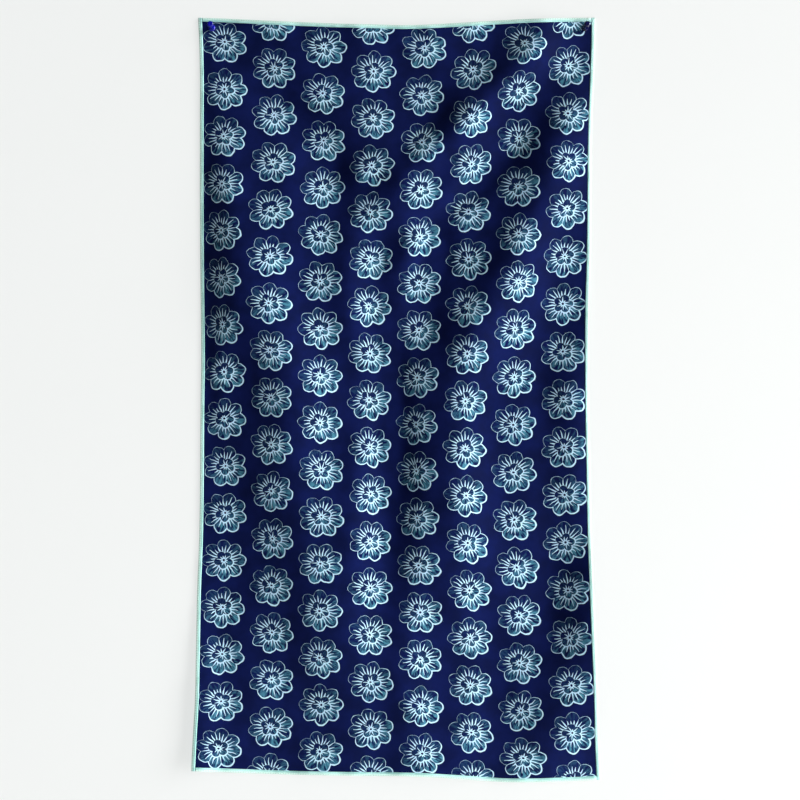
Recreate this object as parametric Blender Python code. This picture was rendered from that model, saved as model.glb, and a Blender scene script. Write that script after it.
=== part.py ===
"""Sports towel hung by its two top corners on push pins.

The towel is a printed cloth panel with a thread edging wrapped round each of its four sides. A push
pin, a turned head on a steel needle, goes through each top corner. Sizes are metres and +Z is up.
The wall's face is the plane y = 0 and the towel hangs in front of it, towards -Y. The origin lies on
that face, midway between the needles.
"""

import math

import bmesh
import bpy
import numpy as np

# The cut cloth, and the gap left between pieces that touch.
CLOTH_WIDTH = 0.490
CLOTH_LENGTH = 0.905
CLOTH_THICK = 0.0012
GAP = 0.0003

# The thread edging: a channel that holds the cloth's cut edge.
EDGING_WIDTH = 0.0046
EDGING_WALL = 0.0005
EDGING_THICK = CLOTH_THICK + 2 * GAP + 2 * EDGING_WALL
EDGING_WEB = 0.0006
EDGING_ROUND = 0.0006

# The push pins.
PIN_SPACING = 0.446
NEEDLE_RADIUS = 0.00055
NEEDLE_IN_HEAD = 0.0080
NEEDLE_IN_WALL = 0.0095
NEEDLE_POINT = 0.0025
HEAD_SIDES = 24
NEEDLE_SIDES = 12

# A pin head's collar, waist and grip: (radius, distance in front of the collar's back face).
PIN_HEAD = (
    (0.0038, 0.0000),
    (0.0041, 0.0004),
    (0.0040, 0.0014),
    (0.0034, 0.0020),
    (0.0028, 0.0034),
    (0.0027, 0.0052),
    (0.0029, 0.0082),
    (0.0033, 0.0094),
    (0.0036, 0.0102),
    (0.0034, 0.0112),
    (0.0026, 0.0118),
)

# How far the cloth's face stands from the wall at the pins, as it hangs between its folds, and how
# softly a hollow flattens where it meets the wall.
EDGING_OFF_WALL = 0.0001
PINNED_HEIGHT = EDGING_OFF_WALL + EDGING_THICK / 2 + CLOTH_THICK / 2
HANGING_HEIGHT = 0.0075
FLOOR_ROUNDING = 0.0020
PINNED_RADIUS = 0.0095
RELEASE_RADIUS = 0.075

# Where the photo was taken from: metres right of the pins' middle, below them, and from their level.
VIEW_RIGHT = 0.0016
VIEW_BELOW = 0.4447
VIEW_DISTANCE = 1.0029

# The hung outline: (metres below the pins, middle to left edge, middle to right edge).
SIDE_EDGES = (
    (-0.0145, 0.2400, 0.2351),
    (0.0142, 0.2385, 0.2347),
    (0.0501, 0.2376, 0.2336),
    (0.1099, 0.2376, 0.2313),
    (0.2055, 0.2376, 0.2300),
    (0.2713, 0.2373, 0.2293),
    (0.3251, 0.2367, 0.2277),
    (0.4028, 0.2361, 0.2272),
    (0.4567, 0.2368, 0.2275),
    (0.5164, 0.2372, 0.2287),
    (0.5643, 0.2376, 0.2295),
    (0.6121, 0.2385, 0.2306),
    (0.6719, 0.2408, 0.2330),
    (0.7436, 0.2422, 0.2359),
    (0.8094, 0.2438, 0.2385),
    (0.8453, 0.2459, 0.2392),
    (0.8967, 0.2486, 0.2412),
)

# The same for the top and the hem: (share of the way across, top above the pins, hem below them).
TOP_AND_HEM = (
    (0.00, 0.0123, 0.8886),
    (0.05, 0.0117, 0.8893),
    (0.11, 0.0104, 0.8902),
    (0.23, 0.0077, 0.8924),
    (0.35, 0.0055, 0.8937),
    (0.44, 0.0045, 0.8942),
    (0.52, 0.0035, 0.8946),
    (0.58, 0.0043, 0.8956),
    (0.65, 0.0061, 0.8976),
    (0.71, 0.0078, 0.8998),
    (0.77, 0.0095, 0.9016),
    (0.83, 0.0110, 0.9017),
    (0.91, 0.0120, 0.9006),
    (1.00, 0.0124, 0.8987),
)

# The folds, one row each: its name, how far it stands out (less than 0 for a hollow), its half width,
# the depths below the pins between which it rises and fades, and the line it follows as pairs of
# (metres below the pins, metres to the right of the middle).
FOLDS = (
    ("left ridge", 0.0177, 0.046, (0.03, 0.42), (0.67, 0.83),
     ((0.06, -0.107), (0.15, -0.110), (0.23, -0.148), (0.31, -0.160), (0.38, -0.149), (0.45, -0.126),
      (0.51, -0.126), (0.63, -0.102), (0.74, -0.090))),
    ("right ridge", 0.0168, 0.038, (0.02, 0.12), (0.64, 0.76),
     ((0.03, 0.232), (0.14, 0.192), (0.24, 0.157), (0.32, 0.117), (0.38, 0.084), (0.51, 0.067),
      (0.62, 0.068), (0.72, 0.075))),
    ("swag between the pins", 0.0152, 0.034, (-0.06, 0.00), (0.00, 0.90),
     ((0.00, 0.195), (0.12, 0.067), (0.23, -0.021), (0.30, -0.028))),
    ("hollow from the left pin", -0.0330, 0.035, (-0.08, 0.50), (0.41, 0.70),
     ((0.03, -0.200), (0.10, -0.138), (0.17, -0.073), (0.23, -0.045), (0.36, -0.028), (0.51, -0.017),
      (0.63, -0.014))),
    ("hollow from the right pin", -0.0134, 0.022, (0.07, 0.23), (0.23, 0.50),
     ((0.06, 0.185), (0.12, 0.158), (0.17, 0.112), (0.24, 0.041), (0.28, 0.041), (0.33, 0.026))),
    ("right hollow", -0.0151, 0.033, (0.19, 0.42), (0.64, 0.84),
     ((0.33, 0.193), (0.38, 0.178), (0.50, 0.182), (0.63, 0.188), (0.74, 0.170))),
    ("right edge roll", 0.0251, 0.051, (0.31, 0.49), (0.82, 0.90),
     ((0.38, 0.189), (0.51, 0.194), (0.63, 0.220), (0.70, 0.220))),
    ("left edge tuck", -0.0180, 0.037, (-0.29, -0.11), (0.59, 0.97),
     ((0.10, -0.269), (0.30, -0.253), (0.56, -0.230))),
    ("shelf on the left ridge", 0.0170, 0.028, (0.14, 0.18), (0.35, 0.98),
     ((0.33, -0.052), (0.43, -0.031), (0.54, -0.044), (0.62, -0.052))),
    ("left hem lift", 0.0109, 0.023, (0.32, 0.42), (1.20, 1.40),
     ((0.50, -0.221), (0.70, -0.232), (0.88, -0.241))),
    ("hem hollow on the left", -0.0055, 0.038, (0.44, 0.83), (1.20, 1.40),
     ((0.64, -0.099), (0.74, -0.134), (0.88, -0.153))),
    ("hem wave in the middle", 0.0051, 0.026, (0.33, 0.42), (1.20, 1.40),
     ((0.64, 0.022), (0.74, 0.007), (0.88, 0.017))),
    ("hem hollow on the right", -0.0051, 0.024, (0.59, 0.75), (1.20, 1.40),
     ((0.60, 0.042), (0.70, 0.104), (0.88, 0.110))),
    ("hem hollow at the right edge", -0.0095, 0.034, (0.47, 0.60), (1.20, 1.40),
     ((0.60, 0.226), (0.70, 0.208), (0.88, 0.227))),
    ("roll under the left pin", 0.0089, 0.029, (0.08, 0.22), (0.32, 0.41),
     ((0.00, -0.178), (0.10, -0.204), (0.25, -0.202))),
    ("roll under the top edge", 0.0034, 0.026, (-0.06, 0.00), (0.66, 0.91),
     ((0.00, -0.047), (0.10, -0.042), (0.20, 0.016))),
    ("crease above the right ridge", 0.0079, 0.022, (0.00, 0.23), (0.20, 0.45),
     ((0.02, 0.070), (0.10, 0.082), (0.20, 0.064), (0.30, -0.012))),
)

# The mesh of the panel: even cells in the middle, and narrow ones where the edging and pins sit.
CELLS_ACROSS = 44
CELLS_DOWN = 38
PIN_FROM_EDGE = 0.0133
PANEL_INSET = EDGING_WEB + GAP
EDGE_CELL = 0.0051
PIN_CELL = 2 * PIN_FROM_EDGE - EDGE_CELL

NAVY = (0.012, 0.013, 0.085)
MINT = (0.400, 0.680, 0.620)
PIN_BLUE = (0.010, 0.015, 0.300)
STEEL = (0.600, 0.600, 0.620)


def smooth_through(knots, at):
    """Values at the places `at` on a smooth curve through knots, each a (place, value) pair."""
    place, value = np.array(knots, float).T
    slope = np.gradient(value, place)
    first = np.clip(np.searchsorted(place, at) - 1, 0, len(place) - 2)
    step = place[first + 1] - place[first]
    share = np.clip((at - place[first]) / step, 0, 1)
    rest = 1 - share
    return (
        value[first] * rest**2 * (1 + 2 * share)
        + value[first + 1] * share**2 * (1 + 2 * rest)
        + slope[first] * step * share * rest**2
        - slope[first + 1] * step * share**2 * rest
    )


def ease(low, high, at):
    """0 below low, 1 above high, and a smooth S between them."""
    share = np.clip((at - low) / (high - low), 0, 1)
    return share**2 * (3 - 2 * share)


def unit(way):
    return way / np.linalg.norm(way, axis=-1, keepdims=True)


def column(table, index):
    """The (first column, column index) pairs of a table."""
    return [(row[0], row[index]) for row in table]


def face_height(x, z):
    """How far the cloth's face stands from the wall at a place of the hung towel."""
    below = -z
    height = np.full_like(x, HANGING_HEIGHT)
    for _, stand_out, half_width, rise, fade, line in FOLDS:
        strength = ease(*rise, below) * (1 - ease(*fade, below))
        off_line = (x - smooth_through(line, below)) / half_width
        height += stand_out * strength * np.exp(-(off_line**2))
    over = height - PINNED_HEIGHT
    height = PINNED_HEIGHT + (over + np.sqrt(over**2 + FLOOR_ROUNDING**2)) / 2
    for side in (-1, 1):
        from_pin = np.hypot(x - side * PIN_SPACING / 2, z)
        free = ease(PINNED_RADIUS, RELEASE_RADIUS, from_pin)
        height = PINNED_HEIGHT + (height - PINNED_HEIGHT) * free
    return height


def face_point(across, down):
    """Points of the cloth's face, from metres across and down the flat cloth.

    The outline tables are as the photo shows them, so a point that stands nearer the viewer than the
    pins is drawn in towards the middle of the view.
    """
    u = across / CLOTH_WIDTH
    v = down / CLOTH_LENGTH
    top = smooth_through(column(TOP_AND_HEM, 1), u)
    hem = -smooth_through(column(TOP_AND_HEM, 2), u)
    z = top * (1 - v) + hem * v
    left = -smooth_through(column(SIDE_EDGES, 1), -z)
    right = smooth_through(column(SIDE_EDGES, 2), -z)
    x = left * (1 - u) + right * u
    height = face_height(x, z)
    drawn_in = 1 - (height - PINNED_HEIGHT) / VIEW_DISTANCE
    x = VIEW_RIGHT + (x - VIEW_RIGHT) * drawn_in
    z = (z + VIEW_BELOW) * drawn_in - VIEW_BELOW
    return np.stack([x, -height, z], axis=-1)


def face_normal(across, down):
    """Unit normals of the cloth, pointing out of its face, from two short chords."""
    reach = 0.001
    chord_across = face_point(across + reach, down) - face_point(across - reach, down)
    chord_down = face_point(across, down + reach) - face_point(across, down - reach)
    normal = unit(np.cross(chord_down, chord_across))
    return normal * np.where(normal[..., 1:2] > 0, -1, 1)


def cloth_point(across, down, above):
    """Points a distance above the middle of the cloth's thickness, along its normal."""
    lift = (above - CLOTH_THICK / 2)[..., None]
    return face_point(across, down) + face_normal(across, down) * lift


def stops(length, cells):
    """Places of the panel's mesh lines along one side: narrow at both ends and even between."""
    ends = [PANEL_INSET, EDGE_CELL, PIN_CELL]
    middle = np.linspace(PIN_CELL, length - PIN_CELL, cells + 1)[1:-1]
    return np.array([*ends, *middle, *(length - e for e in reversed(ends))])


def material(name, colour, roughness, metallic=0.0):
    made = bpy.data.materials.new(name)
    made.use_nodes = True
    shader = made.node_tree.nodes["Principled BSDF"]
    shader.inputs["Base Color"].default_value = (*colour, 1.0)
    shader.inputs["Roughness"].default_value = roughness
    shader.inputs["Metallic"].default_value = metallic
    return made


def linked_object(name, mesh, finish):
    made = bpy.data.objects.new(name, mesh)
    made.data.materials.append(finish)
    bpy.context.collection.objects.link(made)
    return made


def mesh_from(name, points, faces):
    """A mesh whose faces are turned to point outwards."""
    mesh = bpy.data.meshes.new(name)
    mesh.from_pydata([tuple(p) for p in points], [], faces)
    shape = bmesh.new()
    shape.from_mesh(mesh)
    bmesh.ops.recalc_face_normals(shape, faces=shape.faces)
    shape.to_mesh(mesh)
    shape.free()
    return mesh


def needle_hole_cutter(side):
    """A hidden rod that cuts the cloth's hole round one needle."""
    shape = bmesh.new()
    bmesh.ops.create_cone(
        shape,
        cap_ends=True,
        segments=NEEDLE_SIDES,
        radius1=NEEDLE_RADIUS + GAP,
        radius2=NEEDLE_RADIUS + GAP,
        depth=10 * CLOTH_THICK,
    )
    mesh = bpy.data.meshes.new("needle_hole")
    shape.to_mesh(mesh)
    shape.free()
    cutter = bpy.data.objects.new("needle_hole", mesh)
    bpy.context.collection.objects.link(cutter)
    cutter.location = (side * PIN_SPACING / 2, -PINNED_HEIGHT, 0)
    cutter.rotation_euler = (math.pi / 2, 0, 0)
    cutter.hide_render = True
    cutter.display_type = "WIRE"
    return cutter


def build_panel(finish):
    """The cloth: a face and a back worked out on one grid and closed round the cut edge."""
    across, down = np.meshgrid(stops(CLOTH_WIDTH, CELLS_ACROSS), stops(CLOTH_LENGTH, CELLS_DOWN))
    half = np.full_like(across, CLOTH_THICK / 2)
    points = np.concatenate([cloth_point(across, down, h).reshape(-1, 3) for h in (half, -half)])
    to_back = across.size
    front = cell_triangles(across, down)
    back = [(a + to_back, c + to_back, b + to_back) for a, b, c in front]
    rim = [(a, b, b + to_back, a + to_back) for a, b in cut_edge_pairs(*across.shape)]
    panel = linked_object("cloth_panel", mesh_from("cloth_panel", points, front + back + rim), finish)
    panel.data.shade_smooth()
    panel.data.set_sharp_from_angle(angle=math.radians(40))
    for side in (-1, 1):
        hole = panel.modifiers.new("needle hole", "BOOLEAN")
        hole.operation = "DIFFERENCE"
        hole.object = needle_hole_cutter(side)
    return panel


def cell_triangles(across, down):
    """The grid's cells, each split along the diagonal that lies closest to the curved face.

    Cells inside the edging are split like the edging itself, so that the two never touch.
    """
    rows, columns = across.shape
    corner = face_point(across, down)
    centre = face_point((across[1:, 1:] + across[:-1, :-1]) / 2, (down[1:, 1:] + down[:-1, :-1]) / 2)
    falling = np.linalg.norm((corner[:-1, :-1] + corner[1:, 1:]) / 2 - centre, axis=-1)
    rising = np.linalg.norm((corner[1:, :-1] + corner[:-1, 1:]) / 2 - centre, axis=-1)
    is_falling = falling < rising
    is_falling[:, 0] = is_falling[0] = True
    is_falling[:, -1] = is_falling[-1] = False
    triangles = []
    for r in range(rows - 1):
        for c in range(columns - 1):
            a = r * columns + c
            b, d, e = a + 1, a + columns, a + columns + 1
            if is_falling[r, c]:
                triangles += [(a, d, e), (a, e, b)]
            else:
                triangles += [(a, d, b), (b, d, e)]
    return triangles


def cut_edge_pairs(rows, columns):
    """Neighbouring points along the grid's outer edge, once round."""
    top = [(c, c + 1) for c in range(columns - 1)]
    right = [(r * columns + columns - 1, (r + 1) * columns + columns - 1) for r in range(rows - 1)]
    last = (rows - 1) * columns
    hem = [(last + c + 1, last + c) for c in range(columns - 1)]
    left = [((r + 1) * columns, r * columns) for r in range(rows - 1)]
    return top + right + hem + left


def edging_section():
    """The channel's section as (distance in from the outline, height above the cloth's middle)."""
    half = EDGING_THICK / 2
    inner = CLOTH_THICK / 2 + GAP
    front = [
        (0.0, half - EDGING_ROUND),
        (EDGING_ROUND, half),
        (EDGING_WIDTH, half),
        (EDGING_WIDTH, inner),
        (EDGING_WEB, inner),
    ]
    back = [(inward, -height) for inward, height in reversed(front)]
    return front + back


def build_edging(name, along, place, finish):
    """One sewn run of edging. place(along, inward) gives metres across and down the flat cloth."""
    section = np.array(edging_section())
    at_cut = face_point(*place(along, PANEL_INSET))
    inward_way = unit(face_point(*place(along, EDGE_CELL)) - at_cut)
    normal = face_normal(*place(along, EDGE_CELL / 2))
    normal = unit(normal - np.sum(normal * inward_way, axis=-1, keepdims=True) * inward_way)
    inward = section[:, 0, None] - PANEL_INSET
    above = section[:, 1, None] - CLOTH_THICK / 2
    points = at_cut[:, None] + inward_way[:, None] * inward + normal[:, None] * above
    rings, count = points.shape[:2]
    faces = [tuple(range(count)), tuple(range((rings - 1) * count, rings * count))]
    for start in range(0, (rings - 1) * count, count):
        for i in range(count):
            outer, inner = sorted((i, (i + 1) % count), key=lambda k: section[k, 0])
            a, b = start + outer, start + inner
            faces += [(a, b, b + count), (a, b + count, a + count)]
    return linked_object(name, mesh_from(name, points.reshape(-1, 3), faces), finish)


def build_edgings(finish):
    """The two sides run the towel's full length, and the top and hem are sewn between them."""
    down_stops = np.array([0.0, *stops(CLOTH_LENGTH, CELLS_DOWN), CLOTH_LENGTH])
    butt = EDGING_WIDTH + GAP
    inner_stops = stops(CLOTH_WIDTH, CELLS_ACROSS)[2:-2]
    across_stops = np.array([butt, *inner_stops, CLOTH_WIDTH - butt])
    build_edging("edging_left", down_stops, lambda a, i: (np.full_like(a, i), a), finish)
    build_edging("edging_right", down_stops, lambda a, i: (np.full_like(a, CLOTH_WIDTH - i), a), finish)
    build_edging("edging_top", across_stops, lambda a, i: (a, np.full_like(a, i)), finish)
    build_edging("edging_hem", across_stops, lambda a, i: (a, np.full_like(a, CLOTH_LENGTH - i)), finish)


def turned(name, profile, sides, finish, x):
    """A solid turned about a line along Y through (x, 0, 0), from a profile of (radius, y) points."""
    shape = bmesh.new()
    corners = [shape.verts.new((radius, y, 0)) for radius, y in profile]
    edges = [shape.edges.new(pair) for pair in zip(corners, corners[1:])]
    bmesh.ops.spin(
        shape,
        geom=corners + edges,
        cent=(0, 0, 0),
        axis=(0, 1, 0),
        angle=2 * math.pi,
        steps=sides,
        use_merge=True,
    )
    bmesh.ops.remove_doubles(shape, verts=shape.verts, dist=1e-6)
    bmesh.ops.recalc_face_normals(shape, faces=shape.faces)
    mesh = bpy.data.meshes.new(name)
    shape.to_mesh(mesh)
    shape.free()
    mesh.shade_smooth()
    mesh.set_sharp_from_angle(angle=math.radians(40))
    made = linked_object(name, mesh, finish)
    made.location.x = x
    return made


def build_pin(side_name, side, plastic, steel):
    """A push pin: its moulded head in front of the cloth, and the needle pressed into the head."""
    x = side * PIN_SPACING / 2
    back = -(PINNED_HEIGHT + GAP)
    bore = NEEDLE_RADIUS + GAP
    bore_end = back - NEEDLE_IN_HEAD - GAP
    outline = [(radius, back - forward) for radius, forward in PIN_HEAD]
    head = [(0.0, bore_end), (bore, bore_end), (bore, back), *outline, (0.0, outline[-1][1])]
    turned(f"pin_head_{side_name}", head, HEAD_SIDES, plastic, x)
    needle = [
        (0.0, back - NEEDLE_IN_HEAD),
        (NEEDLE_RADIUS, back - NEEDLE_IN_HEAD),
        (NEEDLE_RADIUS, NEEDLE_IN_WALL - NEEDLE_POINT),
        (0.0, NEEDLE_IN_WALL),
    ]
    turned(f"pin_needle_{side_name}", needle, NEEDLE_SIDES, steel, x)


def build():
    for old in list(bpy.data.objects):
        bpy.data.objects.remove(old)
    build_panel(material("printed cloth", NAVY, 0.85))
    build_edgings(material("mint thread", MINT, 0.80))
    plastic = material("blue plastic", PIN_BLUE, 0.25)
    steel = material("needle steel", STEEL, 0.30, metallic=1.0)
    build_pin("left", -1, plastic, steel)
    build_pin("right", 1, plastic, steel)


build()
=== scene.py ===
# %% [markdown]
# A sports towel hung from two push pins
#
# This lesson dresses a plain CAD model of a thin printed towel. The CAD model gives every place and
# size: a cloth panel, four runs of thread edging, and two push pins through the top corners. Each
# piece here is a surface worked out with numpy, and each finish is a small tree of shader nodes.

# %% Load the frame
import math

import bmesh
import bpy
import mathutils
import numpy as np
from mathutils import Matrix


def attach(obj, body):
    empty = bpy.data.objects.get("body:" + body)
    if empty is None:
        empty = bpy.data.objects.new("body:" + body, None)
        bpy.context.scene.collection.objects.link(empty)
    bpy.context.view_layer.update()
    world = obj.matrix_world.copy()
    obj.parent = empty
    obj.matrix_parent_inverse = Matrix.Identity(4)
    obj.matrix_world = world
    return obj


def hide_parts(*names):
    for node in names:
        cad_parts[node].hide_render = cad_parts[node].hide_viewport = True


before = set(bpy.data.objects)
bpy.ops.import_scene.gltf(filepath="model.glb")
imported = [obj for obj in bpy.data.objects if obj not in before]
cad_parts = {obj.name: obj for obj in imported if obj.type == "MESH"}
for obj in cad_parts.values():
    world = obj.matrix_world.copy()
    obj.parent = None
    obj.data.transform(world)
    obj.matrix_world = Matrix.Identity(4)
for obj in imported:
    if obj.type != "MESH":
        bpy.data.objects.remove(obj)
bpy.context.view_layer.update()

print("CAD nodes:", sorted(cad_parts))

# %% [markdown]
# The camera
#
# The photo looks straight at the towel, as if from about a metre away and level with its middle. One
# pixel of the photo covers 1.19 mm of the cloth, so the lens follows from the width of the picture
# and the distance. The origin of the frame lies on the wall, midway between the two pins.

# %% Camera
PHOTO_PIXELS = 800
METRES_PER_PIXEL = 0.00119
CAMERA_TO_CLOTH = 0.998
CLOTH_FROM_WALL = 0.007
CAMERA_RIGHT_OF_PINS = 0.0016
CAMERA_BELOW_PINS = 0.4447
SENSOR_WIDTH = 36.0

camera = bpy.data.objects.new("camera", bpy.data.cameras.new("camera"))
bpy.context.collection.objects.link(camera)
camera.data.sensor_width = SENSOR_WIDTH
camera.data.lens = SENSOR_WIDTH * CAMERA_TO_CLOTH / (PHOTO_PIXELS * METRES_PER_PIXEL)
camera.location = (CAMERA_RIGHT_OF_PINS, -CAMERA_TO_CLOTH - CLOTH_FROM_WALL, -CAMERA_BELOW_PINS)
camera.rotation_euler = (math.pi / 2, 0, 0)
bpy.context.scene.camera = camera
print(f"lens {camera.data.lens:.1f} mm")

# %% [markdown]
# The shape of the hung cloth
#
# A towel pinned at two corners is nearly a flat rectangle. Its outline draws in at the middle, its
# top edge sags, and ridges run down from the pins. All of that can be said with three short tables:
# two for the outline, and one with a row for each fold. A cloth simulation could drape it too, but
# it wouldn't put the folds where the real towel has them.

# %% Sizes of the cloth
CLOTH_WIDTH = 0.490
CLOTH_LENGTH = 0.905
SHEET_THICK = 0.0009
PIN_SPACING = 0.446
# Heights are metres that the cloth's face stands out from the wall: at the pins, and between folds.
PINNED_HEIGHT = 0.0021
HANGING_HEIGHT = 0.0075
# How softly a hollow flattens where it comes near the wall.
WALL_ROUNDING = 0.0020
# Round a pin, the cloth lies flat within the first radius and hangs free beyond the second.
PINNED_RADIUS = 0.0095
RELEASE_RADIUS = 0.075
CAMERA_TO_PINS = CAMERA_TO_CLOTH + CLOTH_FROM_WALL - PINNED_HEIGHT

# The hung outline: (metres below the pins, middle to left edge, middle to right edge).
SIDE_EDGES = (
    (-0.0145, 0.2400, 0.2351),
    (0.0142, 0.2385, 0.2347),
    (0.0501, 0.2376, 0.2336),
    (0.1099, 0.2376, 0.2313),
    (0.2055, 0.2376, 0.2300),
    (0.2713, 0.2373, 0.2293),
    (0.3251, 0.2367, 0.2277),
    (0.4028, 0.2361, 0.2272),
    (0.4567, 0.2368, 0.2275),
    (0.5164, 0.2372, 0.2287),
    (0.5643, 0.2376, 0.2295),
    (0.6121, 0.2385, 0.2306),
    (0.6719, 0.2408, 0.2330),
    (0.7436, 0.2422, 0.2359),
    (0.8094, 0.2438, 0.2385),
    (0.8453, 0.2459, 0.2392),
    (0.8967, 0.2486, 0.2412),
)

# The same for the top and the hem: (share of the way across, top above the pins, hem below them).
TOP_AND_HEM = (
    (0.00, 0.0123, 0.8886),
    (0.05, 0.0117, 0.8893),
    (0.11, 0.0104, 0.8902),
    (0.23, 0.0077, 0.8924),
    (0.35, 0.0055, 0.8937),
    (0.44, 0.0045, 0.8942),
    (0.52, 0.0035, 0.8946),
    (0.58, 0.0043, 0.8956),
    (0.65, 0.0061, 0.8976),
    (0.71, 0.0078, 0.8998),
    (0.77, 0.0095, 0.9016),
    (0.83, 0.0110, 0.9017),
    (0.91, 0.0120, 0.9006),
    (1.00, 0.0124, 0.8987),
)
print(f"cloth cut to {CLOTH_WIDTH * 100:.1f} by {CLOTH_LENGTH * 100:.1f} cm")

# %% The folds
# One row each: its name, how far it stands out (less than 0 for a hollow), its half width, the depths
# below the pins between which it rises and fades, and the line it follows as pairs of (metres below
# the pins, metres to the right of the middle).
FOLDS = (
    ("left ridge", 0.0177, 0.046, (0.03, 0.42), (0.67, 0.83),
     ((0.06, -0.107), (0.15, -0.110), (0.23, -0.148), (0.31, -0.160), (0.38, -0.149), (0.45, -0.126),
      (0.51, -0.126), (0.63, -0.102), (0.74, -0.090))),
    ("right ridge", 0.0168, 0.038, (0.02, 0.12), (0.64, 0.76),
     ((0.03, 0.232), (0.14, 0.192), (0.24, 0.157), (0.32, 0.117), (0.38, 0.084), (0.51, 0.067),
      (0.62, 0.068), (0.72, 0.075))),
    ("swag between the pins", 0.0152, 0.034, (-0.06, 0.00), (0.00, 0.90),
     ((0.00, 0.195), (0.12, 0.067), (0.23, -0.021), (0.30, -0.028))),
    ("hollow from the left pin", -0.0330, 0.035, (-0.08, 0.50), (0.41, 0.70),
     ((0.03, -0.200), (0.10, -0.138), (0.17, -0.073), (0.23, -0.045), (0.36, -0.028), (0.51, -0.017),
      (0.63, -0.014))),
    ("hollow from the right pin", -0.0134, 0.022, (0.07, 0.23), (0.23, 0.50),
     ((0.06, 0.185), (0.12, 0.158), (0.17, 0.112), (0.24, 0.041), (0.28, 0.041), (0.33, 0.026))),
    ("right hollow", -0.0151, 0.033, (0.19, 0.42), (0.64, 0.84),
     ((0.33, 0.193), (0.38, 0.178), (0.50, 0.182), (0.63, 0.188), (0.74, 0.170))),
    ("right edge roll", 0.0251, 0.051, (0.31, 0.49), (0.82, 0.90),
     ((0.38, 0.189), (0.51, 0.194), (0.63, 0.220), (0.70, 0.220))),
    ("left edge tuck", -0.0180, 0.037, (-0.29, -0.11), (0.59, 0.97),
     ((0.10, -0.269), (0.30, -0.253), (0.56, -0.230))),
    ("shelf on the left ridge", 0.0170, 0.028, (0.14, 0.18), (0.35, 0.98),
     ((0.33, -0.052), (0.43, -0.031), (0.54, -0.044), (0.62, -0.052))),
    ("left hem lift", 0.0109, 0.023, (0.32, 0.42), (1.20, 1.40),
     ((0.50, -0.221), (0.70, -0.232), (0.88, -0.241))),
    ("hem hollow on the left", -0.0055, 0.038, (0.44, 0.83), (1.20, 1.40),
     ((0.64, -0.099), (0.74, -0.134), (0.88, -0.153))),
    ("hem wave in the middle", 0.0051, 0.026, (0.33, 0.42), (1.20, 1.40),
     ((0.64, 0.022), (0.74, 0.007), (0.88, 0.017))),
    ("hem hollow on the right", -0.0051, 0.024, (0.59, 0.75), (1.20, 1.40),
     ((0.60, 0.042), (0.70, 0.104), (0.88, 0.110))),
    ("hem hollow at the right edge", -0.0095, 0.034, (0.47, 0.60), (1.20, 1.40),
     ((0.60, 0.226), (0.70, 0.208), (0.88, 0.227))),
    ("roll under the left pin", 0.0089, 0.029, (0.08, 0.22), (0.32, 0.41),
     ((0.00, -0.178), (0.10, -0.204), (0.25, -0.202))),
    ("roll under the top edge", 0.0034, 0.026, (-0.06, 0.00), (0.66, 0.91),
     ((0.00, -0.047), (0.10, -0.042), (0.20, 0.016))),
    ("crease above the right ridge", 0.0079, 0.022, (0.00, 0.23), (0.20, 0.45),
     ((0.02, 0.070), (0.10, 0.082), (0.20, 0.064), (0.30, -0.012))),
)
print(f"{len(FOLDS)} folds")

# %% [markdown]
# From tables to a surface
#
# A smooth curve through the rows of a table gives a value anywhere along it. A fold is a bell curve
# across its line, times a soft start and a soft end. The point function then takes metres across and
# down the flat cloth and gives the place in the hung towel, for whole arrays at once. That one
# function places the cloth, its edging and every stitch, so they can't drift apart.

# %% Curves through a table
def smooth_through(knots, at):
    """Values on a smooth curve through knots: a cubic between each pair that keeps both slopes."""
    place, value = np.array(knots, float).T
    slope = np.gradient(value, place)
    first = np.clip(np.searchsorted(place, at) - 1, 0, len(place) - 2)
    step = place[first + 1] - place[first]
    share = np.clip((at - place[first]) / step, 0, 1)
    rest = 1 - share
    return (
        value[first] * rest**2 * (1 + 2 * share)
        + value[first + 1] * share**2 * (1 + 2 * rest)
        + slope[first] * step * share * rest**2
        - slope[first + 1] * step * share**2 * rest
    )


def ease(low, high, at):
    """0 below low, 1 above high, and between them share squared times (3 less 2 shares)."""
    share = np.clip((at - low) / (high - low), 0, 1)
    return share**2 * (3 - 2 * share)


def column(table, index):
    """The (first column, column index) pairs of a table."""
    return [(row[0], row[index]) for row in table]


def unit(way):
    """The same directions at length 1."""
    return way / np.linalg.norm(way, axis=-1, keepdims=True)


top_middle = smooth_through(column(TOP_AND_HEM, 1), np.array(0.5))
print(f"the top edge's middle is {top_middle * 1000:.1f} mm above the pins")

# %% [markdown]
# The small life of the cloth
#
# Between the big folds a real towel is never smooth. The thread pulls its edges into low ripples, the
# pins draw faint rays, and the cloth has soft dents left from handling. These are too low to matter
# in the CAD model, but they catch the light, so they are added to the height here.

# %% Ripples, rays and dents
# Waves along the edges: (wave length in metres, height in metres, phase in turns).
EDGE_RIPPLES = ((0.047, 0.00050, 0.10), (0.029, 0.00032, 0.55), (0.083, 0.00060, 0.30))
EDGE_RIPPLE_REACH = 0.022
# Low dents all over: (waves a metre across, waves a metre down, height in metres, phase in turns).
DENTS = (
    (7.3, 3.1, 0.00055, 0.12),
    (-5.1, 6.2, 0.00045, 0.47),
    (11.7, -4.4, 0.00030, 0.81),
    (3.2, 9.7, 0.00035, 0.33),
    (-13.1, 8.3, 0.00018, 0.64),
)
PIN_RAYS = 9
PIN_RAY_HEIGHT = 0.0007
# Metres from a pin between which its rays fade out.
PIN_RAY_FADE = (0.03, 0.10)


def waves(rows, at):
    """The sum of height times sine for each (wave length, height, phase) row."""
    return sum(height * np.sin(2 * np.pi * (at / length + phase)) for length, height, phase in rows)


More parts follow.
